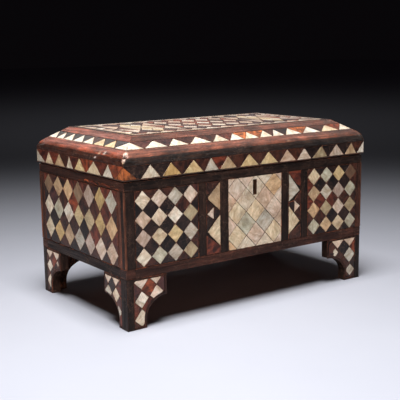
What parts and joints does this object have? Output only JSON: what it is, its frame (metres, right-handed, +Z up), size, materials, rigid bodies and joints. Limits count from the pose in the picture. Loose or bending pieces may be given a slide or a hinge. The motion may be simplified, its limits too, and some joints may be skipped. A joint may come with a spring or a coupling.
{
  "type": "inlaid casket",
  "caption": "Rectangular wooden casket on bracket feet, with pearl and tortoiseshell lozenge inlay and a bevelled lift-off lid.",
  "frame": {"origin": "on the surface the casket stands on, under the middle of the box", "axes": "+X to the right along the front, +Y towards the back, +Z up"},
  "size_m": [0.4044, 0.2354, 0.2355],
  "materials": {
    "box_wood": "plain oiled softwood board, darkened with age",
    "dark_wood": "dark stained wood strip with worn, reddish edges",
    "tortoiseshell": "thin polished tortoiseshell and dark wood tiles over a red ground",
    "pearl": "polished mother-of-pearl tiles in ivory, grey, yellow and peach tints"
  },
  "bodies": {
    "root": {"back_left_pearls": "pearl", "back_left_shell": "tortoiseshell", "back_middle_veneer": "tortoiseshell", "back_right_pearls": "pearl", "back_right_shell": "tortoiseshell", "back_strips": "dark_wood", "floor_board": "box_wood", "foot_back_left": "dark_wood", "foot_back_right": "dark_wood", "foot_front_left": "dark_wood", "foot_front_left_pearls": "pearl", "foot_front_right": "dark_wood", "foot_front_right_pearls": "pearl", "foot_left_left": "dark_wood", "foot_left_left_pearls": "pearl", "foot_left_right": "dark_wood", "foot_left_right_pearls": "pearl", "foot_right_left": "dark_wood", "foot_right_left_pearls": "pearl", "foot_right_right": "dark_wood", "foot_right_right_pearls": "pearl", "front_left_pearls": "pearl", "front_left_shell": "tortoiseshell", "front_middle_pearls": "pearl", "front_right_pearls": "pearl", "front_right_shell": "tortoiseshell", "front_stile_left_pearls": "pearl", "front_stile_left_shell": "tortoiseshell", "front_stile_right_pearls": "pearl", "front_stile_right_shell": "tortoiseshell", "front_strips": "dark_wood", "left_pearls": "pearl", "left_shell": "tortoiseshell", "left_strips": "dark_wood", "lid_band_pearls": "pearl", "lid_band_shell": "tortoiseshell", "lid_board": "box_wood", "lid_rail_back": "dark_wood", "lid_rail_front": "dark_wood", "lid_rail_left": "dark_wood", "lid_rail_right": "dark_wood", "lid_slope_pearls": "pearl", "lid_slope_shell": "tortoiseshell", "lid_top_fillet": "pearl", "lid_top_left_pearls": "pearl", "lid_top_middle_pearls": "pearl", "lid_top_right_pearls": "pearl", "lid_top_veneer": "tortoiseshell", "right_pearls": "pearl", "right_shell": "tortoiseshell", "right_strips": "dark_wood", "wall_back": "box_wood", "wall_front": "box_wood", "wall_left": "box_wood", "wall_right": "box_wood"}
  },
  "joints": []
}
